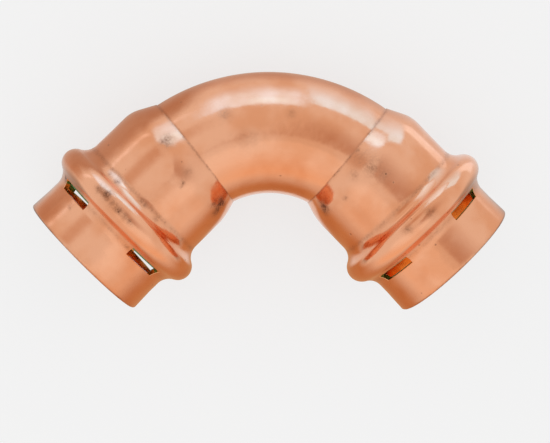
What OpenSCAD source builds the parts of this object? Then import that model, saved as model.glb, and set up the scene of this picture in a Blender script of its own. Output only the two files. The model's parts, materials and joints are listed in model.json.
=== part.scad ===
// Press-fit elbow for copper tube, 90 degrees, socket at both ends. All lengths in mm.
// It is drawn flat, with the socket axes crossing at the origin and running out along +X and +Y.
// The last step lays it down as it comes to rest: on both beads and on the underside of the bend.

/* [Tube and sockets] */
// Outside diameter of the tube that slides into each socket
tube_od = 22; // [20:0.1:26]
// Play between the tube and the socket wall, on the radius
socket_play = 0.1; // [0.06:0.01:0.3]
// Thickness of the copper wall
wall = 1; // [0.8:0.05:1.3]
// Distance from the crossing of the two socket axes to each mouth
centre_to_end = 45.3; // [44.5:0.1:52]
// Depth from the mouth to the point where the flare's axis leaves the socket's axis
knee_from_mouth = 20.2; // [19:0.1:20.8]
// Height of the shoulder that stops the tube, on the radius
stop_height = 0.2; // [0.15:0.01:0.22]

/* [Mouth] */
// How far the collar opens at the mouth, on the radius
mouth_bell = 0.15; // [0.05:0.05:0.4]
// Length over which the collar opens
mouth_bell_length = 4; // [2:0.1:5]
// Rounding of the outer edge of the rim
rim_round = 0.45; // [0.2:0.05:0.6]

/* [Seal bead] */
// Cord diameter of the seal ring
seal_section = 2.74; // [2.4:0.02:3.2]
// Slack around the ring, inside the bead and over the tube
seal_slack = 0.03; // [0.01:0.01:0.1]
// How far the lip of the seal reaches from the middle of the bead towards the mouth
seal_lip = 2.95; // [2.7:0.05:3.5]
// Radius of the hollow at either foot of the bead
bead_foot_radius = 2.8; // [1.5:0.1:3.2]
// Distance from the mouth to the middle of the bead
bead_from_mouth = 10.5; // [10:0.1:11.5]

/* [Windows] */
// Length of a window across the tube, on its mouth side
window_length = 6.8; // [4:0.1:8]
// How much further each end of a window reaches on its bead side
window_splay = 0.35; // [0:0.05:0.6]
// Width of a window along the tube
window_width = 1.5; // [0.8:0.05:1.8]
// Distance from the mouth to the near edge of a window
window_from_mouth = 6.3; // [5:0.05:6.6]
// Angle between the two windows on one face of a collar
window_spread = 82; // [70:1:110]
// Turn of the windows of the socket along +X, towards the inside of the bend
window_turn_a = 0; // [-20:0.5:20]
// Turn of the windows of the socket along +Y, towards the inside of the bend
window_turn_b = 7; // [-20:0.5:20]

/* [Bend and flare] */
// Radius of the bend's centre line
bend_radius = 24.6; // [23.5:0.1:25.4]
// How much smaller the bend's radius is than the barrel's
bend_drop = 1.65; // [1.3:0.05:2.2]
// Angle of the flare's wall to its own axis
flare_angle = 21.75; // [18:0.25:28]
// Height of the step where the flare ends on the bend
joint_step = 0.2; // [0.15:0.01:0.35]

/* [Hidden] */
$fa = 3;
$fs = 0.4;
copper = [0.80, 0.49, 0.36];
seal_green = [0.20, 0.42, 0.28];
cut_past = 1;
arc_step = 7;

bore_r = tube_od / 2 + socket_play;
barrel_r = bore_r + wall;
mouth_r = barrel_r + mouth_bell;

// The bead is the seal's cord, its slack and the wall, all about one centre.
seal_r = seal_section / 2;
crown_ring_r = tube_od / 2 + seal_slack + seal_r;
crown_r = seal_r + seal_slack + wall;
foot_rise = barrel_r + bead_foot_radius - crown_ring_r;
foot_run = sqrt(pow(crown_r + bead_foot_radius, 2) - pow(foot_rise, 2));
foot_turn = atan2(foot_run, foot_rise);
lip_arc_r = bead_foot_radius + wall + seal_slack;
lip_turn = asin((foot_run - seal_lip) / lip_arc_r);

// The flare is a cone that touches the same ball as the barrel, so the two meet in one flat edge.
// It leans just enough for its small end to be centred on the bend's centre line.
bend_r = barrel_r - bend_drop;
joint_r = bend_r + joint_step;
knee_x = centre_to_end - knee_from_mouth;
flare_length = barrel_r / sin(flare_angle) - joint_r / tan(flare_angle);
knee_past = knee_x - bend_radius;
lean_reach = norm([knee_past, bend_radius]);
lean_sum = (pow(knee_past, 2) + pow(flare_length, 2)) / (2 * flare_length);
flare_lean = asin(lean_sum / lean_reach) - atan2(knee_past, bend_radius);
bend_start = 4;

// The tube stops at a shoulder just before the narrowest side of the flare.
stop_r = bore_r - stop_height;
tube_stop = knee_from_mouth + stop_r * tan((flare_angle - flare_lean) / 2) * 0.9;
hollow_r = bend_r - wall;
hollow_length = stop_r / sin(flare_angle) - (hollow_r + joint_step) / tan(flare_angle);

// At rest the lowest point of each bead and of the bend are level.
bead_line = (centre_to_end - bead_from_mouth) / sqrt(2);
rest_arm = bead_line - bend_radius * (sqrt(2) - 1);
rest_diff = bend_r - crown_r;
rest_square = pow(rest_arm, 2) + pow(crown_ring_r, 2) / 2;
rest_root = sqrt(pow(rest_arm * rest_diff, 2)
                 + rest_square * (pow(crown_ring_r, 2) - pow(rest_diff, 2)));
rest_sin = (rest_root - rest_arm * rest_diff) / rest_square;
rest_tilt = asin(rest_sin);
bead_height = crown_ring_r * sqrt(1 - pow(rest_sin, 2) / 2) + crown_r;
rest_height = bead_height - bead_line * rest_sin;

// Half of the lean shows in each socket axis. The box is centred from the far mouth and the near bead.
axis_far = (1 + cos(rest_tilt)) / 2;
axis_side = (cos(rest_tilt) - 1) / 2;
rim_ring_r = mouth_r - rim_round;
box_far = (centre_to_end - rim_round) * axis_far + rim_ring_r * sqrt(1 - pow(axis_far, 2)) + rim_round;
box_near = (centre_to_end - bead_from_mouth) * axis_side
           - crown_ring_r * sqrt(1 - pow(axis_side, 2)) - crown_r;
box_middle = (box_far + box_near) / 2;

// Points of an arc about c, from angle a0 to a1, in steps that keep the chord error small.
function arc(c, r, a0, a1) =
    let (n = ceil(abs(a1 - a0) / arc_step))
    [for (i = [0:n])
        let (a = a0 + (a1 - a0) * i / n)
        [c.x + r * cos(a), c.y + r * sin(a)]];

// Bead outline seen from the mouth inwards: foot, crown, foot. inset moves it inwards.
function bead_points(inset) = concat(
    arc([barrel_r + bead_foot_radius, foot_run - bead_from_mouth], bead_foot_radius + inset,
        180, 180 + foot_turn),
    arc([crown_ring_r, -bead_from_mouth], crown_r - inset, foot_turn, -foot_turn),
    arc([barrel_r + bead_foot_radius, -foot_run - bead_from_mouth], bead_foot_radius + inset,
        180 - foot_turn, 180));

// Outside of a socket as a solid, mouth at z = 0 and open end towards +Z.
module socket_outside() {
    rotate_extrude()
        polygon(concat(
            [[0, 0]],
            arc([rim_ring_r, -rim_round], rim_round, 90, 0),
            [[barrel_r, -mouth_bell_length]],
            bead_points(0),
            [[barrel_r, -knee_from_mouth], [0, -knee_from_mouth]]));
}

// Hollow of a socket down to the shoulder, with a short lead-in that follows the bell of the mouth.
module socket_hollow() {
    rotate_extrude()
        polygon(concat(
            [[0, cut_past], [bore_r + mouth_bell * 1.5, cut_past], [bore_r + mouth_bell, 0]],
            [[bore_r, -mouth_bell_length / 2]],
            bead_points(wall),
            [[bore_r, -tube_stop], [0, -tube_stop]]));
}

// Barrel end and flare, inset by the wall for the hollow. z = 0 is the knee, and the bend lies towards -Z.
// stop is where the cone ends, measured along its own leaning axis.
module flare(inset, stop) {
    ball_r = barrel_r - inset;
    back = ball_r / 2;
    intersection() {
        translate([0, 0, -2 * ball_r])
            cylinder(r = ball_r, h = 2 * ball_r + back / 2);
        rotate([0, -flare_lean, 0])
            translate([0, 0, -stop])
                cylinder(
                    r1 = ball_r / cos(flare_angle) - stop * tan(flare_angle),
                    r2 = ball_r / cos(flare_angle) + back * tan(flare_angle),
                    h = stop + back);
    }
}

// Puts what is drawn about the Z axis, mouth at z = 0, on the socket axis that runs along +X.
module on_socket() {
    translate([centre_to_end, 0, 0])
        rotate([90, 0, 90])
            children();
}

// Draws its children on both sockets.
module on_both() {
    children();
    mirror([1, -1, 0])
        children();
}

// Tube of the bend, running a little way into each flare.
module bend(r) {
    translate([bend_radius, bend_radius, 0])
        rotate([0, 0, 180 + bend_start])
            rotate_extrude(angle = 90 - 2 * bend_start)
                translate([bend_radius, 0])
                    circle(r = r);
}

// Windows of one collar: two on each face, cut outwards from inside the bore.
module windows(turn) {
    half = window_length / 2;
    for (face = [90, 270], side = [-1, 1])
        rotate([0, 0, face + side * window_spread / 2 - turn])
            translate([bore_r / 2, 0, -window_from_mouth])
                rotate([90, 0, 90])
                    linear_extrude(height = barrel_r)
                        polygon([
                            [-half, 0],
                            [half, 0],
                            [half + window_splay, -window_width],
                            [-half - window_splay, -window_width]]);
}

// Lays the flat elbow down as it comes to rest, with the middle of its box over the origin.
module at_rest() {
    translate([-box_middle, -box_middle, rest_height])
        rotate(a = rest_tilt, v = [1, -1, 0])
            children();
}

// Copper tube, bent, expanded at both ends and beaded.
module elbow_body() {
    color(copper)
        at_rest()
            difference() {
                union() {
                    bend(bend_r);
                    on_both()
                        on_socket() {
                            socket_outside();
                            translate([0, 0, -knee_from_mouth])
                                flare(0, flare_length);
                        }
                }
                bend(hollow_r);
                on_both()
                    on_socket() {
                        socket_hollow();
                        translate([0, 0, -knee_from_mouth])
                            flare(wall + stop_height, hollow_length);
                    }
                on_socket()
                    windows(window_turn_a);
                mirror([1, -1, 0])
                    on_socket()
                        windows(window_turn_b);
            }
}

// Rubber ring: a round cord seated in the bead, with a lip under the bead's foot that shows in the windows.
module seal_ring() {
    rotate_extrude()
        polygon(concat(
            [[crown_ring_r - seal_r, seal_lip - bead_from_mouth]],
            arc([barrel_r + bead_foot_radius, foot_run - bead_from_mouth], lip_arc_r,
                180 + lip_turn, 180 + foot_turn),
            arc([crown_ring_r, -bead_from_mouth], seal_r, foot_turn, -180)));
}

// Ring of the socket that runs along +X.
module seal_ring_a() {
    color(seal_green)
        at_rest()
            on_socket()
                seal_ring();
}

// Ring of the socket that runs along +Y.
module seal_ring_b() {
    color(seal_green)
        at_rest()
            mirror([1, -1, 0])
                on_socket()
                    seal_ring();
}

elbow_body();
seal_ring_a();
seal_ring_b();
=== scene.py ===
"""Copper press-fit elbow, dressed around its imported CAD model.

The copper skin and the two seal rings are surfaces worked out with numpy from the same named sizes as the
part's source. The stage adds a pale floor, soft light, reflection cards and the camera.
All lengths are in metres.
"""

import json
from math import asin, atan2, cos, hypot, pi, radians, sin, sqrt, tan

import bpy
import numpy as np
from bpy.props import FloatProperty, FloatVectorProperty, IntProperty, PointerProperty
from mathutils import Matrix


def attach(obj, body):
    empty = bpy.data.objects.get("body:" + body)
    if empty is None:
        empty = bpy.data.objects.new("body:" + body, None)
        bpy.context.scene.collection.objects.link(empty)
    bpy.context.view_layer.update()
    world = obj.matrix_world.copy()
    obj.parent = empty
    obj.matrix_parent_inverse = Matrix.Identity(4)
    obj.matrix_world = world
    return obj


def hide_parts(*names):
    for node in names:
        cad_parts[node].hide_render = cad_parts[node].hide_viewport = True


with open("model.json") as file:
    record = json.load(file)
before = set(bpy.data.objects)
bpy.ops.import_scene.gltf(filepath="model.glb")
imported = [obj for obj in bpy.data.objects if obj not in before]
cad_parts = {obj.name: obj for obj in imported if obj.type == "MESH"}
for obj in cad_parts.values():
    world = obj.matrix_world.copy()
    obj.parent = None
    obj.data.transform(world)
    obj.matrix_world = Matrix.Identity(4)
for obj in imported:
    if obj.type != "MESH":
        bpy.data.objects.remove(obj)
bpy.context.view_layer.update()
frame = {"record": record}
SOCKET_BORE = frame["record"]["mounts"][0]["dims"]["r_mm"] / 1000
MM = 0.001

# Rows of the copper skin's grid: along the barrel, over the knee and down the flare, outside and inside,
# along the bend, outside and inside, and across a window.
OUTER_STEPS, INNER_STEPS = (7, 10, 8), (2, 2, 6)
BEND_ROWS, HOLLOW_ROWS = 84, 44
WINDOW_ROWS = 8

# Grid steps along the arcs of the rim, the bead and the seal's groove, and of the seal's lip and cord.
RIM_STEP, BEAD_STEP, GROOVE_STEP = 0.12 * MM, 0.17 * MM, 0.3 * MM
LIP_STEP, CORD_STEP = 0.15 * MM, 0.2 * MM

# Edges that turn by more than this are drawn sharp.
SHARP_EDGE = radians(32)

# The floor lies just under the elbow. The cards stand around a point at about half the elbow's height and
# clear the floor.
FLOOR_RINGS, FLOOR_SPOKES, FLOOR_DROP = (0.0005, 0.05, 0.2, 1.5), 65, 0.02 * MM
CARD_CENTRE, CARD_CLEARANCE = 15 * MM, 0.5 * MM
CARD_ROWS, CARD_COLUMNS = 17, 25

# Marks of making and handling, where the photo shows them, and three patches of painted shade: place on the
# skin in mm, radius in mm, depth of the dent in mm, share of brown oxide (of painted shade for the three
# patches).
MARKS = (
    ((3.05, -17.21, 23.09), 2.2, 0.06, 0.0),
    ((4.19, -15.97, 23.69), 1.0, 0.0, 0.3),
    ((3.16, -21.92, 21.52), 1.1, 0.03, 0.7),
    ((4.23, -8.75, 20.89), 1.5, 0.1, 0.0),
    ((5.48, -7.48, 20.22), 1.2, 0.05, 0.9),
    ((5.05, -8.68, 21.23), 0.9, 0.0, 0.5),
    ((4.32, -7.83, 20.03), 0.8, 0.0, 1.0),
    ((4.51, -7.14, 19.31), 0.6, 0.0, 0.8),
    ((-8.6, 3.32, 20.22), 1.5, 0.1, 0.0),
    ((-7.37, 4.97, 19.85), 1.0, 0.05, 0.9),
    ((-7.2, 4.62, 19.45), 1.0, 0.0, 0.6),
    ((-6.95, 5.49, 19.59), 0.8, 0.0, 0.95),
    ((-15.1, 3.45, 23.3), 0.9, 0.03, 0.3),
    # The next three rows are painted shade, not oxide: they darken socket b's flare by its joint line to
    # deepen the dark band that it mirrors there.
    ((-17.98, 2.38, 22.58), 1.4, 0.0, 0.36),
    ((-18.35, 4.4, 23.6), 1.7, 0.0, 0.38),
    ((-18.6, 6.4, 24.1), 1.5, 0.0, 0.26),
    ((-18.21, 1.12, 21.68), 0.4, 0.0, 0.8),
    ((-6.47, -18.02, 19.23), 1.0, 0.04, 0.35),
    ((-14.42, -10.58, 19.38), 0.7, 0.03, 0.35),
    ((-6.61, -12.52, 20.89), 1.8, 0.05, 0.15),
    ((15.45, -24.22, 26.67), 0.8, 0.0, 0.75),
    ((15.38, -23.07, 27.34), 0.85, 0.0, 1.0),
    ((15.45, -21.6, 28.04), 0.7, 0.0, 0.95),
    ((15.51, -20.18, 28.53), 0.6, 0.0, 0.9),
    ((15.52, -18.73, 28.85), 0.6, 0.0, 0.85),
    ((15.47, -17.54, 28.99), 0.5, 0.0, 0.7),
    ((13.48, -24.43, 23.35), 0.6, 0.0, 0.4),
    ((13.29, -22.94, 24.43), 0.6, 0.0, 0.5),
    ((12.38, -18.25, 25.63), 0.6, 0.0, 0.7),
    ((12.38, -17.18, 25.76), 0.5, 0.0, 0.8),
    ((12.84, -14.4, 25.93), 0.5, 0.0, 0.5),
    ((-20.34, 15.43, 28.47), 0.9, 0.0, 0.45),
    ((-15.79, 14.84, 28.79), 0.8, 0.0, 0.4),
    ((5.77, -15.36, 24.23), 0.35, 0.0, 0.8),
    ((19.24, -14.48, 27.23), 0.4, 0.0, 0.8),
    ((-11.35, 5.39, 23.08), 0.35, 0.0, 0.7),
    ((21.91, -25.24, 23.73), 0.35, 0.0, 0.7),
    ((20.29, -28.51, 18.69), 0.6, 0.0, 0.9),
    ((20.26, -28.04, 19.71), 0.6, 0.0, 0.9),
)

# What the polish mirrors: name, azimuths and elevations in degrees, distance in m, tone, strength, and the
# softness of the edges of low and high azimuth and of low and high elevation. The soft boxes, the two
# strips and a wide sheet of daylight are brighter than the paper. The others stand for darker and warmer
# parts of the room and of the floor.
CARDS = (
    ("soft_box_left", (211, 249), (-18, 23), 0.2, "#B2D6FF", 2.4, (0.12, 0.25, 0.45, 0.1)),
    ("soft_box_right", (179, 212), (-24, 13), 0.21, "#A9D4FF", 2.5, (0.25, 0.12, 0.65, 0.06)),
    ("soft_box_core", (214, 233), (5, 19), 0.195, "#A6D3FF", 3.0, (0.3, 0.3, 0.4, 0.15)),
    ("light_front", (-75, 165), (38, 89.9), 0.35, "#FFFFFF", 1.0, (0.25, 0.25, 0.35, 0.001)),
    ("light_strip_right", (148, 186), (-17, -10), 0.18, "#DDEDFF", 1.6, (0.25, 0.25, 0.2, 0.2)),
    ("light_strip_left", (246, 292), (1, 8), 0.185, "#EAF2FF", 1.35, (0.3, 0.3, 0.15, 0.3)),
    ("shade_left", (248, 302), (-52, 2), 0.19, "#C6AD9D", 1.0, (0.25, 0.3, 0.3, 0.3)),
    ("shade_by_mouth", (276, 312), (-26, 12), 0.09, "#D0B9AA", 1.0, (0.25, 0.3, 0.15, 0.55)),
    ("shade_back", (150, 300), (-48, -17), 0.17, "#D0B8A8", 1.0, (0.2, 0.2, 0.1, 0.4)),
    ("warm_low", (-25, 115), (-2, 78), 0.28, "#FDE3CB", 1.0, (0.4, 0.4, 0.4, 0.65)),
    ("brown_low", (-20, 116), (-52, 27), 0.16, "#CC9C70", 1.0, (0.2, 0.2, 0.16, 0.55)),
    ("shade_inside_a", (92, 150), (-36, 2), 0.1, "#B0ABA6", 1.0, (0.4, 0.4, 0.3, 0.4)),
    ("shade_inside_b", (-60, -2), (-36, 2), 0.1, "#B0ABA6", 1.0, (0.4, 0.4, 0.3, 0.4)),
    ("dark_overhead", (125, 216), (28, 80), 0.22, "#D2BEB4", 1.0, (0.7, 0.08, 0.75, 0.1)),
    ("dim_left", (234, 288), (24, 54), 0.31, "#DCC8BA", 1.0, (0.4, 0.4, 0.4, 0.4)),
)

bl_info = {
    "name": "Copper press-fit elbow",
    "version": (1, 0, 0),
    "blender": (4, 5, 0),
    "location": "3D View > Sidebar > Elbow",
    "description": "Builds the copper skin, the seal rings and the stage of a press-fit elbow",
    "category": "Add Mesh",
}


def linear(code):
    """An sRGB hex colour as three linear values."""
    c = np.array([int(code[i : i + 2], 16) for i in (1, 3, 5)]) / 255
    return tuple(np.where(c <= 0.04045, c / 12.92, ((c + 0.055) / 1.055) ** 2.4).tolist())


def length(name, description, mm):
    """A length property; its default is given in millimetres."""
    return FloatProperty(
        name=name,
        description=description,
        default=mm * MM,
        min=0,
        unit="LENGTH",
        subtype="DISTANCE",
        precision=5,
    )


def colour(name, description, code):
    """A colour property; its default is given as sRGB hex."""
    return FloatVectorProperty(
        name=name, description=description, default=linear(code), min=0, max=1, size=3, subtype="COLOR"
    )


def share(name, description, value):
    """A property from 0 to 1."""
    return FloatProperty(name=name, description=description, default=value, min=0, max=1, subtype="FACTOR")


def rotation(name, description, degrees):
    """An angle property; its default is given in degrees."""
    return FloatProperty(name=name, description=description, default=radians(degrees), unit="ROTATION")


def direction(name, description, value):
    """A direction property."""
    return FloatVectorProperty(name=name, description=description, default=value, subtype="DIRECTION")


class ElbowSizes(bpy.types.PropertyGroup):
    """Sizes of the elbow, as in the part's source."""

    bore: length("Socket bore", "Radius of the socket's bore", SOCKET_BORE / MM)
    play: length("Socket play", "Play between the tube and the bore, on the radius", 0.1)
    wall: length("Wall", "Thickness of the copper wall", 1.0)
    centre_to_end: length("Centre to end", "From the crossing of the socket axes to each mouth", 45.3)
    knee_depth: length("Knee depth", "From the mouth to the start of the flare", 20.2)
    knee_round: length("Knee rounding", "Length on either side of the knee over which it is rounded", 1.5)
    stop_height: length("Tube stop", "Height of the shoulder that stops the tube", 0.2)
    mouth_bell: length("Mouth bell", "How far the collar opens at the mouth, on the radius", 0.15)
    bell_length: length("Bell length", "Length over which the collar opens", 4.0)
    rim_round: length("Rim rounding", "Rounding of the outer edge of the rim", 0.45)
    seal_section: length("Seal section", "Cord diameter of the seal ring", 2.74)
    seal_slack: length("Seal slack", "Slack around the seal ring", 0.03)
    seal_lip: length("Seal lip", "From the middle of the bead to the tip of the seal's lip", 2.95)
    bead_foot: length("Bead foot", "Radius of the hollow at either foot of the bead", 2.8)
    bead_depth: length("Bead depth", "From the mouth to the middle of the bead", 10.5)
    window_length: length("Window length", "Length of a window across the tube, on its mouth side", 6.8)
    window_splay: length("Window splay", "How much further each end reaches on the bead side", 0.35)
    window_width: length("Window width", "Width of a window along the tube", 1.5)
    window_depth: length("Window depth", "From the mouth to the near edge of a window", 6.3)
    window_edge: length("Window edge", "Broken edge around a window", 0.06)
    window_spread: rotation("Window spread", "Angle between the two windows of a face", 82)
    window_turn_a: rotation("Window turn a", "Turn of socket a's windows to the inside", 0)
    window_turn_b: rotation("Window turn b", "Turn of socket b's windows to the inside", 7)
    bend_radius: length("Bend radius", "Radius of the bend's centre line", 24.6)
    bend_drop: length("Bend drop", "How much smaller the bend's radius is than the barrel's", 1.65)
    flare_angle: rotation("Flare angle", "Angle of the flare's wall to its axis", 21.75)
    joint_step: length("Joint step", "Height of the step where the flare ends on the bend", 0.2)
    columns: IntProperty(name="Columns", description="Grid columns around the tube", default=160, min=48)


class CopperLook(bpy.types.PropertyGroup):
    """Finish of the copper."""

    bright: colour("Bright copper", "Clean polished copper", "#F0AF89")
    warm: colour("Warm copper", "Copper where handling has deepened its colour", "#E69C71")
    bore: colour("Bore", "Copper inside the tube, as annealed", "#F0AC66")
    # This brown is also the colour of the painted shade of three marks on socket b's flare.
    oxide: colour("Oxide", "Brown oxide in creases and pits", "#5A2E1B")
    roughness: share("Roughness", "Blur of the polish", 0.14)


class SealLook(bpy.types.PropertyGroup):
    """Finish of the seal rings."""

    green: colour("Rubber", "Moulded green rubber", "#4C9560")
    bloom: colour("Bloom", "Paler rubber where wax has come to the surface", "#5AA06C")
    roughness: share("Roughness", "Blur of the moulded skin", 0.55)


class StageLook(bpy.types.PropertyGroup):
    """Floor, light and camera."""

    paper: colour("Paper", "Pale floor and surroundings", "#F2F2F2")
    camera_place: FloatVectorProperty(
        name="Camera place",
        description="Where the camera stands",
        default=(-0.0348939, -0.0506261, 0.2299918),
        subtype="XYZ",
        unit="LENGTH",
        precision=5,
    )
    camera_back: direction("Camera back", "From the subject to the camera", (-0.16041, -0.23549, 0.95855))
    camera_up: direction("Camera up", "Upright of the picture", (-0.67083, -0.68636, -0.28088))
    lens: FloatProperty(
        name="Lens", description="Focal length in millimetres on a 36 mm wide frame", default=85.091, min=10
    )


class ElbowShape:
    """Sizes that follow from the named ones, worked out as in the part's source. Functions take it as e."""

    def __init__(self, sizes):
        for name in sizes.__annotations__:
            setattr(self, name, getattr(sizes, name))
        self.barrel_r = self.bore + self.wall
        self.mouth_r = self.barrel_r + self.mouth_bell
        self.rim_ring_r = self.mouth_r - self.rim_round
        self.seal_r = self.seal_section / 2
        self.crown_ring_r = self.bore - self.play + self.seal_slack + self.seal_r
        self.crown_r = self.seal_r + self.seal_slack + self.wall
        rise = self.barrel_r + self.bead_foot - self.crown_ring_r
        self.foot_run = sqrt((self.crown_r + self.bead_foot) ** 2 - rise**2)
        self.foot_turn = atan2(self.foot_run, rise)
        self.lip_arc_r = self.bead_foot + self.wall + self.seal_slack
        self.lip_turn = asin((self.foot_run - self.seal_lip) / self.lip_arc_r)
        self.bend_r = self.barrel_r - self.bend_drop
        self.joint_r = self.bend_r + self.joint_step
        a = self.flare_angle
        self.flare_length = self.barrel_r / sin(a) - self.joint_r / tan(a)
        past = self.centre_to_end - self.knee_depth - self.bend_radius
        lean_sum = (past**2 + self.flare_length**2) / (2 * self.flare_length)
        self.lean = asin(lean_sum / hypot(past, self.bend_radius)) - atan2(past, self.bend_radius)
        self.stop_r = self.bore - self.stop_height
        self.stop_depth = self.knee_depth + self.stop_r * tan((a - self.lean) / 2) * 0.9
        self.hollow_r = self.bend_r - self.wall
        self.hollow_end_r = self.hollow_r + self.joint_step
        self.hollow_length = self.stop_r / sin(a) - self.hollow_end_r / tan(a)
        bead_line = (self.centre_to_end - self.bead_depth) / sqrt(2)
        arm = bead_line - self.bend_radius * (sqrt(2) - 1)
        diff = self.bend_r - self.crown_r
        square = arm**2 + self.crown_ring_r**2 / 2
        root = sqrt((arm * diff) ** 2 + square * (self.crown_ring_r**2 - diff**2))
        s = (root - arm * diff) / square
        self.tilt = asin(s)
        self.rest_height = self.crown_ring_r * sqrt(1 - s**2 / 2) + self.crown_r - bead_line * s
        far, side = (1 + cos(self.tilt)) / 2, (cos(self.tilt) - 1) / 2
        rim_middle = (self.centre_to_end - self.rim_round) * far
        box_far = rim_middle + self.rim_ring_r * sqrt(1 - far**2) + self.rim_round
        bead_middle = (self.centre_to_end - self.bead_depth) * side
        box_near = bead_middle - self.crown_ring_r * sqrt(1 - side**2) - self.crown_r
        self.box_middle = (box_far + box_near) / 2
        self.even = np.arange(self.columns) * (2 * pi / self.columns)

    def window_rows(self):
        """Depths of the rows that cross the windows, from one broken edge to the other."""
        first = self.window_depth - self.window_edge
        return np.linspace(first, first + self.window_width + 2 * self.window_edge, WINDOW_ROWS)

    def window_centres(self, socket):
        """Angles of a socket's four windows about its axis, from the inside of the bend."""
        half = self.window_spread / 2
        turn = (self.window_turn_a, self.window_turn_b)[socket]
        return np.array([pi / 2 - half, pi / 2 + half, 1.5 * pi - half, 1.5 * pi + half]) - turn

    def window_half(self, depth):
        """Half length of a window: it widens evenly from its mouth side to its bead side."""
        along = np.clip((depth - self.window_depth) / self.window_width, 0, 1)
        return self.window_length / 2 + self.window_splay * along

    def window_columns(self, socket):
        """First and last grid column of each window, the whole columns nearest its true ends."""
        step = 2 * pi / self.columns
        middle = np.rint(self.window_centres(socket) / step).astype(int)
        span = round(asin(self.window_length / 2 / self.barrel_r) / step)
        return np.stack([middle - span, middle + span], 1)


def arc(centre, radius, start, end, step):
    """Points (radius, depth) of an arc about centre, from angle start to end, no further apart than step."""
    t = np.linspace(start, end, max(6, int(abs(end - start) * radius / step)))
    return np.stack([centre[0] + radius * np.cos(t), centre[1] - radius * np.sin(t)], 1)


def run(a, b, count):
    """Points (radius, depth) of a straight run from a to b."""
    return np.linspace(a, b, count)


def chain(*runs):
    """Runs end to end, with each shared end kept once."""
    points = np.concatenate(runs)
    return points[np.r_[True, np.linalg.norm(np.diff(points, axis=0), axis=1) > 1e-9]]


def bead_profile(e, inset, step):
    """Foot, crown and foot of the seal bead: three arcs that touch, moved inwards by inset."""
    foot_r, middle = e.barrel_r + e.bead_foot, e.bead_depth
    return chain(
        arc((foot_r, middle - e.foot_run), e.bead_foot + inset, pi, pi + e.foot_turn, step),
        arc((e.crown_ring_r, middle), e.crown_r - inset, e.foot_turn, -e.foot_turn, step),
        arc((foot_r, middle + e.foot_run), e.bead_foot + inset, pi - e.foot_turn, pi, step),
    )


def with_window_rows(e, profile):
    """The profile with its points across the windows replaced by points at the windows' own rows."""
    rows = e.window_rows()
    radius = np.interp(rows, profile[:, 1], profile[:, 0])
    gap = 0.03 * MM
    before, after = profile[profile[:, 1] < rows[0] - gap], profile[profile[:, 1] > rows[-1] + gap]
    return np.concatenate([before, np.stack([radius, rows], 1), after])


def outer_profile(e):
    """Outside of a socket from the lip of its mouth to the end of its bead: flat rim, rounded edge, belled
    collar and bead."""
    foot = e.bead_depth - e.foot_run
    lip = run((e.bore + e.mouth_bell, 0), (e.rim_ring_r, 0), 3)
    rest = chain(
        arc((e.rim_ring_r, e.rim_round), e.rim_round, pi / 2, 0, RIM_STEP),
        run((e.mouth_r, e.rim_round), (e.barrel_r, e.bell_length), 8),
        run((e.barrel_r, e.bell_length), (e.barrel_r, foot), 5),
        bead_profile(e, 0, BEAD_STEP),
    )
    return np.concatenate([lip[:-1], with_window_rows(e, rest)])


def inner_profile(e):
    """Inside of a socket from the lip of its mouth to the end of the seal's groove."""
    lead = e.bell_length / 2
    return with_window_rows(
        e,
        chain(
            run((e.bore + e.mouth_bell, 0), (e.bore, lead), 4),
            run((e.bore, lead), (e.bore, e.bead_depth - e.foot_run), 6),
            bead_profile(e, e.wall, GROOVE_STEP),
        ),
    )


def drawn_columns(e, socket, profile):
    """Angle of every grid point: even columns, drawn aside so that they pass along the ends of the windows.
    The pull is full at the windows, fades out over the collar and the bead, and is a sum of hat functions of
    the angle."""
    radius, depth = profile.T
    centre = e.window_centres(socket)
    half = np.arcsin((e.window_half(depth) + e.window_edge) / radius)[:, None]
    knots = e.window_columns(socket) * (2 * pi / e.columns)
    pull = (np.stack([centre - half, centre + half], 2) - knots).reshape(len(depth), -1)
    rows, margin, begin, end = e.window_rows(), 0.4 * MM, 2 * MM, 13 * MM
    first, last = rows[0] - margin, rows[-1] + margin
    rise = np.clip((depth - begin) / (first - begin), 0, 1)
    fall = np.clip((end - depth) / (end - last), 0, 1)
    fade = rise * rise * (3 - 2 * rise) * fall * fall * (3 - 2 * fall)
    hats = np.stack([np.interp(e.even, knots.ravel(), unit, period=2 * pi) for unit in np.eye(knots.size)])
    return e.even + (fade[:, None] * pull) @ hats


def revolve(profile, angles):
    """A profile carried around the socket's axis: (r cos, r sin, -depth) in the socket's own frame."""
    radius, depth = profile[:, :1], profile[:, 1:]
    inwards = np.broadcast_to(-depth, angles.shape)
    return np.stack([radius * np.cos(angles), radius * np.sin(angles), inwards], -1)


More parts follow.
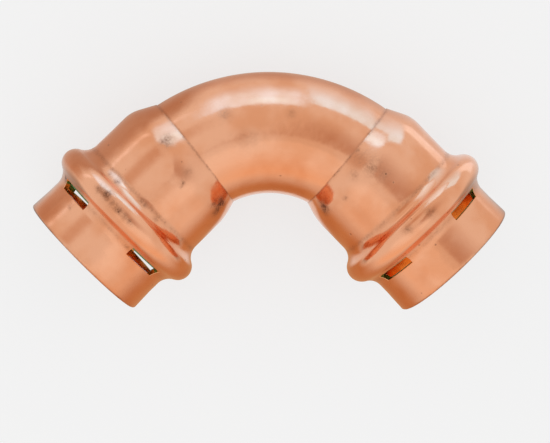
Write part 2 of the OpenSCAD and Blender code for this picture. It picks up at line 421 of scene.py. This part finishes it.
def flare_rows(e, ball_r, end_r, start, rounding, counts):
    """Rows along the barrel from depth start, over the knee and down the flare to radius end_r, and the angle
    of each column about the flare's leaning axis.

    Barrel and flare are a cylinder and a cone about one ball, so at each angle they are two straight lines,
    which meet on the plane of their common edge. A parabola that touches both lines rounds the knee."""
    a, lean, angles = e.flare_angle, e.lean, e.even
    inward, across = np.array([sin(lean), 0, -cos(lean)]), np.array([cos(lean), 0, sin(lean)])
    knee_z = ball_r * (np.cos(angles) * sin(lean) - sin(a)) / (cos(a) + cos(lean))
    knee = np.stack([ball_r * np.cos(angles), ball_r * np.sin(angles), knee_z], -1)
    turn = np.arctan2(knee[:, 1], knee @ across)
    spoke = np.cos(turn)[:, None] * across + np.sin(turn)[:, None] * np.array([0, 1, 0])
    end = (ball_r / sin(a) - end_r / tan(a)) * inward + end_r * spoke
    slope = (end - knee) / np.linalg.norm(end - knee, axis=1, keepdims=True)
    begin = np.concatenate([knee[:, :2], np.full((len(angles), 1), e.knee_depth - start)], 1)
    before, after = knee + rounding * np.array([0, 0, 1]), knee + rounding * slope
    steps = [np.linspace(0, 1, n)[:, None, None] for n in counts]
    barrel = begin + steps[0] * (before - begin)
    curve = (1 - steps[1]) ** 2 * before + 2 * steps[1] * (1 - steps[1]) * knee + steps[1] ** 2 * after
    cone = after + steps[2] * (end - after)
    return np.concatenate([barrel[:-1], curve, cone[1:]]) - np.array([0, 0, e.knee_depth]), turn


def on_leg(e, points, socket):
    """From a socket's own frame (inside of the bend, up, out of the mouth) to the flat elbow."""
    side, up, out = points[..., 0], points[..., 1], points[..., 2] + e.centre_to_end
    return np.stack([side, out, up] if socket else [out, side, up], -1)


def bend_rows(e, radius, joint_length, turns, count):
    """A circle carried along the bend's quarter arc, between the planes of the two joints. Where the arc
    starts follows for each point around the circle from A sin b + B cos b = C, the joint's plane."""
    lean, big = e.lean, e.bend_radius
    normal = np.array([-cos(lean), sin(lean)])
    foot = np.array([e.centre_to_end - e.knee_depth, 0]) + joint_length * normal

    def first(turn):
        """Angle along the arc at which the point at this turn of the circle lies in the joint's plane."""
        level = (big - foot) @ normal / (big - radius * np.cos(turn))
        return np.arccos(level) + atan2(normal[0], normal[1])

    begin, end = first(turns[0]), pi / 2 - first(turns[1])
    t = np.linspace(0, 1, count)[:, None]
    along, around = begin + t * (end - begin), turns[0] + t * (turns[1] - turns[0])
    reach = big - radius * np.cos(around)
    return np.stack([big - reach * np.sin(along), big - reach * np.cos(along), radius * np.sin(around)], -1)


def at_rest(e, points):
    """Lays the flat elbow down: turned by the rest tilt about (1, -1, 0) and set over the origin."""
    axis = np.array([1, -1, 0]) / sqrt(2)
    c, s = cos(e.tilt), sin(e.tilt)
    turned = points * c + np.cross(axis, points) * s + (points @ axis)[..., None] * axis * (1 - c)
    return turned + np.array([-e.box_middle, -e.box_middle, e.rest_height])


def socket_rows(e, socket):
    """Outer and inner rows of one socket from the lip of its mouth to the joint, in the flat elbow, with the
    column angles at the joint, outside and inside, and the two profiles."""
    skin, bore = outer_profile(e), inner_profile(e)
    flare, turn = flare_rows(e, e.barrel_r, e.joint_r, skin[-1, 1], e.knee_round, OUTER_STEPS)
    stop = chain(
        run((e.bore, bore[-1, 1]), (e.bore, e.stop_depth), 6),
        run((e.bore, e.stop_depth), (e.stop_r, e.stop_depth), 2),
    )
    edge = 0.05 * MM
    cone, inner_turn = flare_rows(e, e.stop_r, e.hollow_end_r, e.stop_depth, edge, INNER_STEPS)
    outer = np.concatenate([revolve(skin, drawn_columns(e, socket, skin)), flare[1:]])
    inner = np.concatenate(
        [
            revolve(bore, drawn_columns(e, socket, bore)),
            revolve(stop, np.broadcast_to(e.even, (len(stop), e.columns)))[1:],
            cone[1:],
        ]
    )
    return on_leg(e, outer, socket), on_leg(e, inner, socket), turn, inner_turn, skin, bore


def window_walls(e, socket, skin, bore, outer_row, inner_row):
    """Cut edges of a socket's windows.

    For each window it gives two new loops of points just under the outside and the inside, on the planes of
    the punch, the loops of grid points on both sides that they join, and the rows and columns of the grid to
    leave out."""
    rows, cols = e.window_rows(), e.window_columns(socket)
    first_out, first_in = (int(np.argmin(np.abs(p[:, 1] - rows[0]))) for p in (skin, bore))
    last, width = len(rows) - 1, cols[0, 1] - cols[0, 0]
    go, back = np.arange(width), np.arange(width, 0, -1)
    down, up = np.arange(last), np.arange(last, 0, -1)
    i = np.concatenate([0 * go, down, 0 * go + last, up])
    j = np.concatenate([go, 0 * down + width, back, 0 * up])
    depth = e.window_depth + e.window_width * i / last
    across = e.window_half(depth) * (2 * j / width - 1)
    radii = (
        np.interp(depth, skin[:, 1], skin[:, 0]) - e.window_edge,
        np.interp(depth, bore[:, 1], bore[:, 0]) + e.window_edge,
    )
    reach = np.stack([np.sqrt(r**2 - across**2) for r in radii])
    c, s = np.cos(e.window_centres(socket)), np.sin(e.window_centres(socket))
    c, s = c[:, None, None], s[:, None, None]
    inwards = np.broadcast_to(-depth, (len(cols), *reach.shape))
    loops = np.stack([reach * c - across * s, reach * s + across * c, inwards], -1)
    column = (cols[:, :1] + j) % e.columns
    outer_ids = outer_row(first_out + i) * e.columns + column
    inner_ids = inner_row(first_in + i) * e.columns + column
    gone = [outer_row(first_out + down), inner_row(first_in + down)]
    return on_leg(e, loops, socket), outer_ids, inner_ids, gone, cols


def ring_faces(a, b):
    """Quads between two loops of point numbers of the same length, along their last axis."""
    return np.stack([a, np.roll(a, -1, -1), np.roll(b, -1, -1), b], -1).reshape(-1, 4)


def elbow_skin(e):
    """The whole copper skin as one closed grid: rows run from mouth a over the outside to mouth b and back
    through the bore, columns run around the tube, and both close on themselves. The windows are left out of
    the grid and joined by their cut edges."""
    outer_a, inner_a, turn_a, inner_turn_a, skin, bore = socket_rows(e, 0)
    outer_b, inner_b, turn_b, inner_turn_b, _, _ = socket_rows(e, 1)
    bend = bend_rows(e, e.bend_r, e.flare_length, (turn_a, turn_b), BEND_ROWS)
    hollow = bend_rows(e, e.hollow_r, e.hollow_length, (inner_turn_a, inner_turn_b), HOLLOW_ROWS)
    outside = np.concatenate([outer_a, bend, outer_b[::-1]])
    inside = np.concatenate([inner_b[1:], hollow[::-1], inner_a[:0:-1]])
    dent, stain_and_shade = marks_and_shade(e, outside)
    depth = dent + unevenness(e, outside, len(outer_a), len(outer_b))
    outside = outside - outward(outside) * depth[..., None]
    grid = np.concatenate([outside, inside])
    height, n = len(grid), e.columns
    i, j = np.arange(height)[:, None], np.arange(n)[None]
    below, beside = (i + 1) % height, (j + 1) % n
    faces = np.stack([i * n + j, below * n + j, below * n + beside, i * n + beside], -1)
    keep = np.ones((height, n), bool)
    points, walls = [grid.reshape(-1, 3)], []
    # Where row k of the outside and of the inside lies in the grid, for socket a and for socket b.
    places = (
        (lambda k: k, lambda k: height - k),
        (lambda k: len(outside) - 1 - k, lambda k: len(outside) - 1 + k),
    )
    for socket, (outer_row, inner_row) in enumerate(places):
        loops, outer_ids, inner_ids, gone, cols = window_walls(e, socket, skin, bore, outer_row, inner_row)
        start = sum(map(len, points))
        ids = start + np.arange(loops[..., 0].size).reshape(loops.shape[:-1])
        points.append(loops.reshape(-1, 3))
        joins = ((outer_ids, ids[:, 0]), (ids[:, 0], ids[:, 1]), (ids[:, 1], inner_ids))
        cut = np.concatenate([ring_faces(a, b) for a, b in joins])
        walls.append(cut if socket else cut[:, ::-1])
        for rows in gone:
            face_rows = rows if rows[0] < rows[-1] else rows - 1
            for first, last in cols:
                keep[np.ix_(face_rows % height, np.arange(first, last) % n)] = False
    made = np.concatenate(points)
    # The crease share takes in the marks' oxide, and the painted shade of three marks on socket b's flare.
    crease = np.maximum(crease_depth(e, skin, len(outer_a), len(bend))[:, None], stain_and_shade)
    crease = np.concatenate([crease.ravel(), np.full(len(made) - crease.size, -1.0)])
    return at_rest(e, made), np.concatenate([faces[keep], *walls]), crease


def outward(points):
    """Outward normals of the outside's grid, square to its rows and columns."""
    normal = np.cross(np.gradient(points, axis=0), np.roll(points, -1, 1) - np.roll(points, 1, 1))
    return normal / np.linalg.norm(normal, axis=2, keepdims=True)


def unevenness(e, outside, rows_a, rows_b):
    """Depth of the slight hollows that forming left in barrel, flare and bend: shallow waves of the angle and
    the length along the tube, and none on the sockets' beads and collars."""
    path = np.r_[0, np.cumsum(np.linalg.norm(np.diff(outside, axis=0), axis=2).mean(1))][:, None]
    angle = e.even[None]
    # Each wave's length in mm per radian, its turns around the tube, its start and its height.
    waves = ((5.3, 2, 0.7, 1.0), (3.7, -3, 2.1, 1.0), (2.3, 5, 0.0, 0.7))
    wave = sum(
        height * np.sin(path / (span * MM) + turns * angle + start) for span, turns, start, height in waves
    )
    crest, depth, fade = 2.7, 0.011 * MM, 4 * MM
    # Rows from the foot of the bead to the joint.
    after_bead = sum(OUTER_STEPS) + 1
    from_bead = np.minimum(path - path[rows_a - after_bead], path[len(outside) - rows_b + after_bead] - path)
    return depth * (crest - wave) / 2 * np.clip(from_bead / fade, 0, 1)


def marks_and_shade(e, outside):
    """Depth of the dents and share of brown at each point of the outside: a bell curve of the distance from
    each of the marks. The brown is oxide, apart from three marks on socket b's flare, where it is painted
    shade."""
    placed = at_rest(e, outside)
    dent, stain_and_shade = np.zeros(outside.shape[:2]), np.zeros(outside.shape[:2])
    for place, radius, depth, oxide in MARKS:
        away = np.linalg.norm(placed - np.array(place) * MM, axis=2) / (radius * MM)
        bell = np.exp(-(away**2))
        dent += depth * MM * bell
        stain_and_shade = np.maximum(stain_and_shade, oxide * bell)
    return dent, stain_and_shade


def crease_depth(e, skin, rows_a, bend_count):
    """How much a grid row of the outside sits in a crease, from 0 to 1: the rims, the feet of the beads and
    the joint lines, where polish does not reach and oxide stays."""

    def film(away, width, amount):
        """A bell curve of the distance from a crease: its width in mm, and its height."""
        return amount * np.exp(-((away / (width * MM)) ** 2))

    depth, joint, flare = skin[:, 1], 0.4, 9 * MM
    near, far = e.bead_depth - 0.7 * e.foot_run, e.bead_depth + 0.85 * e.foot_run
    feet = film(depth, 0.3, 0.5) + film(depth - near, 0.5, 0.2) + film(depth - far, 0.4, 0.3)
    from_joint = np.linspace(flare, 0, rows_a - len(skin))
    socket = np.concatenate([feet, film(from_joint, 0.3, joint)])
    middle = np.zeros(bend_count)
    middle[[0, -1]] = joint
    return np.concatenate([socket, middle, socket[::-1]])


def seal_surface(e, socket):
    """A seal ring: its section carried around the socket's axis. The section is a round cord in the middle of
    the bead with a lip that follows the foot of the bead towards the mouth."""
    foot = (e.barrel_r + e.bead_foot, e.bead_depth - e.foot_run)
    section = chain(
        [[e.crown_ring_r - e.seal_r, e.bead_depth - e.seal_lip]],
        arc(foot, e.lip_arc_r, pi + e.lip_turn, pi + e.foot_turn, LIP_STEP),
        arc((e.crown_ring_r, e.bead_depth), e.seal_r, e.foot_turn, -pi, CORD_STEP),
    )
    points = revolve(section, np.broadcast_to(e.even, (len(section), e.columns)))
    n = np.arange(len(section) * e.columns).reshape(len(section), e.columns)
    beside = np.roll(n, -1, 1)
    faces = np.stack([n, beside, np.roll(beside, -1, 0), np.roll(n, -1, 0)], -1).reshape(-1, 4)
    return at_rest(e, on_leg(e, points, socket)).reshape(-1, 3), faces if socket else faces[:, ::-1]


def patch(rows, cols):
    """Quads of an open grid of points, counted row by row."""
    n = np.arange(rows * cols).reshape(rows, cols)
    return np.stack([n[:-1, :-1], n[:-1, 1:], n[1:, 1:], n[1:, :-1]], -1).reshape(-1, 4)


def put_mesh(name, points, faces, material):
    """A mesh object at the origin from arrays of points and quads, smooth apart from its sharp edges."""
    mesh = bpy.data.meshes.new(name)
    mesh.vertices.add(len(points))
    mesh.vertices.foreach_set("co", points.astype(np.float32).ravel())
    mesh.loops.add(faces.size)
    mesh.loops.foreach_set("vertex_index", faces.astype(np.int32).ravel())
    mesh.polygons.add(len(faces))
    mesh.polygons.foreach_set("loop_start", np.arange(0, faces.size, 4, dtype=np.int32))
    mesh.update(calc_edges=True)
    if mesh.validate():
        raise RuntimeError(f"the mesh of {name} had faults")
    mesh.shade_smooth()
    mesh.set_sharp_from_angle(angle=SHARP_EDGE)
    mesh.materials.append(material)
    piece = bpy.data.objects.new(name, mesh)
    bpy.context.scene.collection.objects.link(piece)
    return piece


def add(tree, kind, inputs, **settings):
    """Adds a node: settings are its own properties, and each input gets a value or a link from a socket."""
    made = tree.nodes.new(kind)
    for key, value in settings.items():
        setattr(made, key, value)
    for key, value in inputs.items():
        if isinstance(value, bpy.types.NodeSocket):
            tree.links.new(value, made.inputs[key])
        else:
            made.inputs[key].default_value = value
    return made


def new_material(name):
    """An empty node material and its tree."""
    material = bpy.data.materials.new(name)
    material.use_nodes = True
    material.node_tree.nodes.clear()
    return material, material.node_tree


def polished_copper(look):
    """Drawn copper tube, formed and then tumbled bright. The eye gets a warm mirror, a little blurred, with
    soft clouds of deeper colour from handling, fine pits, and brown oxide where the polish can't reach. Three
    patches on socket b's flare are painted shade in the same brown."""
    material, tree = new_material("polished_copper")
    where = add(tree, "ShaderNodeTexCoord", {}).outputs["Object"]
    # Clouds of colour about 8 mm across, mottling about 1.3 mm, grain about 0.35 mm.
    clouds, mottle, grain = (
        add(
            tree, "ShaderNodeTexNoise", {"Vector": where, "Scale": 1 / (width * MM), "Detail": detail}
        ).outputs[0]
        for width, detail in ((8, 3.0), (1.3, 4.0), (0.35, 2.0))
    )
    crease = add(tree, "ShaderNodeAttribute", {}, attribute_name="crease").outputs["Fac"]
    # Oxide is a thin brown film in the creases, thicker in dots as large as the grain and in patches. The
    # crease share
    #     # also carries the marks' oxide and the painted shade of three marks, which take the same dots and
    #     patches.
    dots, patches = (
        add(
            tree,
            "ShaderNodeMapRange",
            {"Value": lumps, "From Min": 0.35, "From Max": 0.65, "To Min": thin, "To Max": thick},
        ).outputs[0]
        for lumps, thin, thick in ((grain, 0.6, 1.25), (mottle, 0.45, 1.15))
    )
    bore = add(tree, "ShaderNodeMath", {0: crease, 1: -1.0}, operation="MULTIPLY", use_clamp=True).outputs[0]
    stain_and_shade = add(tree, "ShaderNodeMath", {0: crease, 1: dots}, operation="MULTIPLY", use_clamp=True).outputs[0]
    stain_and_shade = add(tree, "ShaderNodeMath", {0: stain_and_shade, 1: patches}, operation="MULTIPLY").outputs[0]
    # Pits up to 0.5 mm wide, in about one of three cells of 1.9 mm.
    cells = add(tree, "ShaderNodeTexVoronoi", {"Vector": where, "Scale": 1 / (1.9 * MM)})
    chance = add(tree, "ShaderNodeSeparateColor", {"Color": cells.outputs["Color"]}).outputs[0]
    size = add(tree, "ShaderNodeMath", {0: chance, 1: 0.4, 2: -0.27}, operation="MULTIPLY_ADD").outputs[0]
    away = cells.outputs["Distance"]
    inside = add(tree, "ShaderNodeMath", {0: size, 1: away}, operation="SUBTRACT").outputs[0]
    pit = add(tree, "ShaderNodeMath", {0: inside, 1: 24.0}, operation="MULTIPLY", use_clamp=True).outputs[0]
    deeper = add(
        tree,
        "ShaderNodeMapRange",
        {"Value": clouds, "From Min": 0.38, "From Max": 0.66},
        interpolation_type="SMOOTHSTEP",
    ).outputs[0]
    # A colour mix has its share as input 0 and its two colours as inputs 6 and 7, and gives output 2.
    tone = add(
        tree, "ShaderNodeMix", {0: deeper, 6: (*look.bright, 1), 7: (*look.warm, 1)}, data_type="RGBA"
    ).outputs[2]
    # The bore keeps the yellower tone of the annealed tube.
    tone = add(tree, "ShaderNodeMix", {0: bore, 6: tone, 7: (*look.bore, 1)}, data_type="RGBA").outputs[2]
    # Pits, oxide and the painted shade of three marks turn the colour towards the oxide brown and dull the
    # polish.
    dirt_and_shade = add(tree, "ShaderNodeMath", {0: pit, 1: 0.4, 2: stain_and_shade}, operation="MULTIPLY_ADD").outputs[0]
    dirt_and_shade = add(tree, "ShaderNodeMath", {0: dirt_and_shade, 1: 0.85}, operation="MINIMUM").outputs[0]
    tone = add(tree, "ShaderNodeMix", {0: dirt_and_shade, 6: tone, 7: (*look.oxide, 1)}, data_type="RGBA").outputs[2]
    finest, dullest = look.roughness - 0.05, look.roughness + 0.07
    blur = add(
        tree,
        "ShaderNodeMapRange",
        {"Value": mottle, "From Min": 0.3, "From Max": 0.7, "To Min": finest, "To Max": dullest},
    ).outputs[0]
    blur = add(tree, "ShaderNodeMath", {0: dirt_and_shade, 1: 0.25, 2: blur}, operation="MULTIPLY_ADD").outputs[0]
    height = add(tree, "ShaderNodeMath", {0: mottle, 1: 0.5, 2: clouds}, operation="MULTIPLY_ADD").outputs[0]
    height = add(tree, "ShaderNodeMath", {0: grain, 1: 0.06, 2: height}, operation="MULTIPLY_ADD").outputs[0]
    height = add(tree, "ShaderNodeMath", {0: pit, 1: -0.5, 2: height}, operation="MULTIPLY_ADD").outputs[0]
    bump = add(tree, "ShaderNodeBump", {"Height": height, "Strength": 0.5, "Distance": 0.06 * MM}).outputs[0]
    metal = add(
        tree,
        "ShaderNodeBsdfPrincipled",
        {
            "Base Color": tone,
            "Metallic": 1.0,
            "Roughness": blur,
            "Normal": bump,
            "Coat Weight": 0.15,
            "Coat Roughness": 0.1,
        },
    )
    add(tree, "ShaderNodeOutputMaterial", {"Surface": metal.outputs[0]})
    return material


def moulded_rubber(look):
    """Green seal rubber from a polished mould: a soft skin with a faint bloom and a fine pebble."""
    material, tree = new_material("moulded_seal_rubber")
    where = add(tree, "ShaderNodeTexCoord", {}).outputs["Object"]
    # Bloom in clouds about 3 mm across, pebble about 0.15 mm.
    bloom, pebble = (
        add(
            tree, "ShaderNodeTexNoise", {"Vector": where, "Scale": 1 / (width * MM), "Detail": detail}
        ).outputs[0]
        for width, detail in ((3, 3.0), (0.15, 2.0))
    )
    tone = add(
        tree, "ShaderNodeMix", {0: bloom, 6: (*look.green, 1), 7: (*look.bloom, 1)}, data_type="RGBA"
    ).outputs[2]
    finest, dullest = look.roughness - 0.1, look.roughness + 0.1
    blur = add(
        tree, "ShaderNodeMapRange", {"Value": bloom, "To Min": finest, "To Max": dullest}
    ).outputs[0]
    bump = add(tree, "ShaderNodeBump", {"Height": pebble, "Strength": 0.3, "Distance": 0.02 * MM}).outputs[0]
    skin = {"Base Color": tone, "Roughness": blur, "Normal": bump, "IOR": 1.52}
    rubber = add(tree, "ShaderNodeBsdfPrincipled", skin)
    add(tree, "ShaderNodeOutputMaterial", {"Surface": rubber.outputs[0]})
    return material


def studio_paper(look):
    """Matt white paper. To the eye and in reflections it is mostly its own pale tone, so that the shadow that
    the elbow leaves on it stays faint."""
    material, tree = new_material("studio_paper")
    path = add(tree, "ShaderNodeLightPath", {}).outputs
    seen = path["Is Camera Ray"]
    for ray in ("Is Glossy Ray", "Is Transmission Ray"):
        seen = add(tree, "ShaderNodeMath", {0: seen, 1: path[ray]}, operation="MAXIMUM").outputs[0]
    part = add(tree, "ShaderNodeMath", {0: seen, 1: 0.75}, operation="MULTIPLY").outputs[0]
    matt = add(tree, "ShaderNodeBsdfDiffuse", {"Color": (*look.paper, 1)}).outputs[0]
    pale = add(tree, "ShaderNodeEmission", {"Color": (*look.paper, 1), "Strength": 1.05}).outputs[0]
    both = add(tree, "ShaderNodeMixShader", {0: part, 1: matt, 2: pale}).outputs[0]
    add(tree, "ShaderNodeOutputMaterial", {"Surface": both})
    return material


def card_face(name, tone, strength, soft):
    """A lit or shaded card that turns clear towards its edges. soft gives, for the edges of low and high
    azimuth and of low and high elevation, the share of the card over which it does."""
    material, tree = new_material(name)
    uv = add(tree, "ShaderNodeUVMap", {}).outputs[0]
    along = add(tree, "ShaderNodeSeparateXYZ", {"Vector": uv}).outputs
    full = 1.0
    for k, part in enumerate(soft):
        edge = k % 2
        rise = add(
            tree,
            "ShaderNodeMapRange",
            {"Value": along[k // 2], "From Min": edge, "From Max": 1 - part if edge else part},
            interpolation_type="SMOOTHSTEP",
        ).outputs[0]
        full = add(tree, "ShaderNodeMath", {0: full, 1: rise}, operation="MULTIPLY").outputs[0]
    glow = add(tree, "ShaderNodeEmission", {"Color": (*tone, 1), "Strength": strength}).outputs[0]
    clear = add(tree, "ShaderNodeBsdfTransparent", {}).outputs[0]
    both = add(tree, "ShaderNodeMixShader", {0: full, 1: clear, 2: glow}).outputs[0]
    add(tree, "ShaderNodeOutputMaterial", {"Surface": both})
    return material


def reflection_card(name, azimuths, heights, distance, tone, strength, soft):
    """A card that the metal sees and nothing else does: a piece of a sphere about the elbow's middle, between
    two azimuths and two elevations in degrees. Where it would dip below the floor it lies just above it."""
    a = np.radians(np.linspace(*azimuths, CARD_COLUMNS))[None]
    h = np.radians(np.linspace(*heights, CARD_ROWS))[:, None]
    shape, faces = (CARD_ROWS, CARD_COLUMNS), patch(CARD_ROWS, CARD_COLUMNS)
    points = np.stack([np.cos(h) * np.cos(a), np.cos(h) * np.sin(a), np.broadcast_to(np.sin(h), shape)], -1)
    # Further cards lie a little higher, so that no two share a plane on the floor.
    room = CARD_CENTRE - CARD_CLEARANCE - distance * MM
    reach = np.minimum(distance, room / np.maximum(np.sin(-h), 1e-6))[..., None]
    points = (points * reach + np.array([0, 0, CARD_CENTRE])).reshape(-1, 3)
    card = put_mesh(name, points, faces, card_face(name, linear(tone), strength, soft))
    u, v = np.linspace(0, 1, CARD_COLUMNS), np.linspace(0, 1, CARD_ROWS)
    uv = np.stack(np.meshgrid(u, v), -1).reshape(-1, 2)
    layer = card.data.uv_layers.new(name="UVMap")
    layer.data.foreach_set("uv", uv[faces.ravel()].astype(np.float32).ravel())
    card.visible_camera = card.visible_diffuse = card.visible_shadow = card.visible_transmission = False


class ELBOW_OT_body(bpy.types.Operator):
    """Build the copper skin of the elbow in place of its CAD solid"""

    bl_idname = "elbow.body"
    bl_label = "Copper elbow"

    def execute(self, context):
        points, faces, crease = elbow_skin(ElbowShape(context.scene.elbow_sizes))
        piece = put_mesh("copper_elbow", points, faces, polished_copper(context.scene.elbow_copper))
        # The point attribute holds the share of oxide in creases and marks, with the painted shade of three
        # marks, and -1 on the inside.
        layer = piece.data.attributes.new("crease", "FLOAT", "POINT")
        layer.data.foreach_set("value", crease.astype(np.float32))
        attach(piece, "root")
        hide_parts("elbow_body")
        return {"FINISHED"}


class ELBOW_OT_seals(bpy.types.Operator):
    """Build the two rubber seal rings in place of their CAD solids"""

    bl_idname = "elbow.seals"
    bl_label = "Seal rings"

    def execute(self, context):
        shape = ElbowShape(context.scene.elbow_sizes)
        rubber = moulded_rubber(context.scene.elbow_seal)
        for socket, name in enumerate(("seal_ring_a", "seal_ring_b")):
            piece = put_mesh("rubber_" + name, *seal_surface(shape, socket), rubber)
            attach(piece, "root")
            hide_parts(name)
        return {"FINISHED"}


class ELBOW_OT_stage(bpy.types.Operator):
    """Set up the pale floor, the soft light, the reflection cards and the camera"""

    bl_idname = "elbow.stage"
    bl_label = "Stage"

    def execute(self, context):
        scene, look = context.scene, context.scene.elbow_stage
        shape = (len(FLOOR_RINGS), FLOOR_SPOKES)
        radius, angle = np.array(FLOOR_RINGS)[:, None], np.linspace(0, 2 * pi, FLOOR_SPOKES)[None]
        disc = np.stack([radius * np.cos(angle), radius * np.sin(angle), np.full(shape, -FLOOR_DROP)], -1)
        put_mesh("paper_floor", disc.reshape(-1, 3), patch(*shape), studio_paper(look))
        world = bpy.data.worlds.new("soft_studio")
        world.use_nodes = True
        world.node_tree.nodes["Background"].inputs["Color"].default_value = (*look.paper, 1)
        world.node_tree.nodes["Background"].inputs["Strength"].default_value = 1.0
        scene.world = world
        for card in CARDS:
            reflection_card(*card)
        data = bpy.data.cameras.new("photo_camera")
        data.lens, data.sensor_width = look.lens, 36
        data.clip_start, data.clip_end = 0.01, 10
        camera = bpy.data.objects.new("photo_camera", data)
        back, up = np.array(look.camera_back), np.array(look.camera_up)
        right = np.cross(up, back)
        axes = Matrix(np.stack([right, np.cross(back, right), back], 1).tolist())
        camera.matrix_world = Matrix.LocRotScale(look.camera_place, axes.to_quaternion(), None)
        scene.collection.objects.link(camera)
        scene.camera = camera
        scene.view_settings.view_transform = "Standard"
        return {"FINISHED"}


class ELBOW_PT_panel(bpy.types.Panel):
    """Sizes, finishes and steps of the elbow"""

    bl_idname = "ELBOW_PT_panel"
    bl_label = "Press-fit elbow"
    bl_space_type = "VIEW_3D"
    bl_region_type = "UI"
    bl_category = "Elbow"

    def draw(self, context):
        for group in GROUPS:
            box = self.layout.box()
            for name in getattr(context.scene, group).__annotations__:
                box.prop(getattr(context.scene, group), name)
        for operator in OPERATORS:
            self.layout.operator(operator.bl_idname)


GROUPS = {
    "elbow_sizes": ElbowSizes,
    "elbow_copper": CopperLook,
    "elbow_seal": SealLook,
    "elbow_stage": StageLook,
}
OPERATORS = (ELBOW_OT_body, ELBOW_OT_seals, ELBOW_OT_stage)


def register():
    """Registers the classes and hangs the property groups on the scene."""
    for cls in (*GROUPS.values(), *OPERATORS, ELBOW_PT_panel):
        bpy.utils.register_class(cls)
    for name, group in GROUPS.items():
        setattr(bpy.types.Scene, name, PointerProperty(type=group))


def unregister():
    """Takes the property groups off the scene and the classes out again."""
    for name in GROUPS:
        delattr(bpy.types.Scene, name)
    for cls in (ELBOW_PT_panel, *reversed(OPERATORS), *reversed(GROUPS.values())):
        bpy.utils.unregister_class(cls)


def main():
    """Builds every piece and the stage in order."""
    register()
    bpy.ops.elbow.body()
    bpy.ops.elbow.seals()
    bpy.ops.elbow.stage()


if __name__ == "__main__":
    main()
